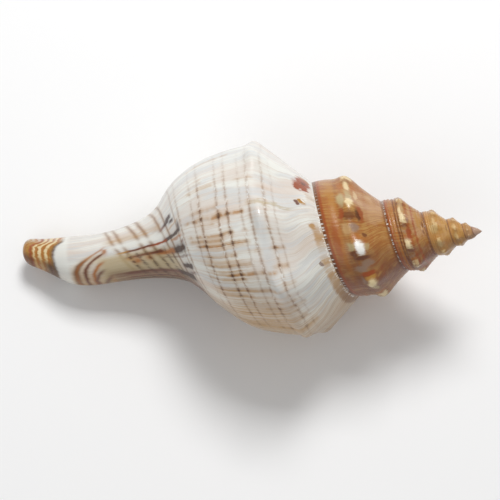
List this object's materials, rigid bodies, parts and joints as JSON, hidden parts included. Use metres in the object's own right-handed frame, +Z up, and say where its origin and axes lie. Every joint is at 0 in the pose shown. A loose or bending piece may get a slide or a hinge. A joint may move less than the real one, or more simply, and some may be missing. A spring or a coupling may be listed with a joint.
{
  "type": "conch shell",
  "caption": "Large spindle-shaped sea snail shell with a knobbed shoulder, a stepped pointed spire and a long open canal, lying on its mouth.",
  "frame": {"origin": "on the surface the shell lies on, under the middle of its bounding box", "axes": "+X along the shell towards the point of the spire, +Z up from the surface, +Y towards the outer lip"},
  "size_m": [0.1484, 0.0666, 0.055],
  "materials": {
    "shell_glaze": "polished natural shell, cream with brown lines"
  },
  "bodies": {
    "root": {"shell": "shell_glaze"}
  },
  "joints": []
}
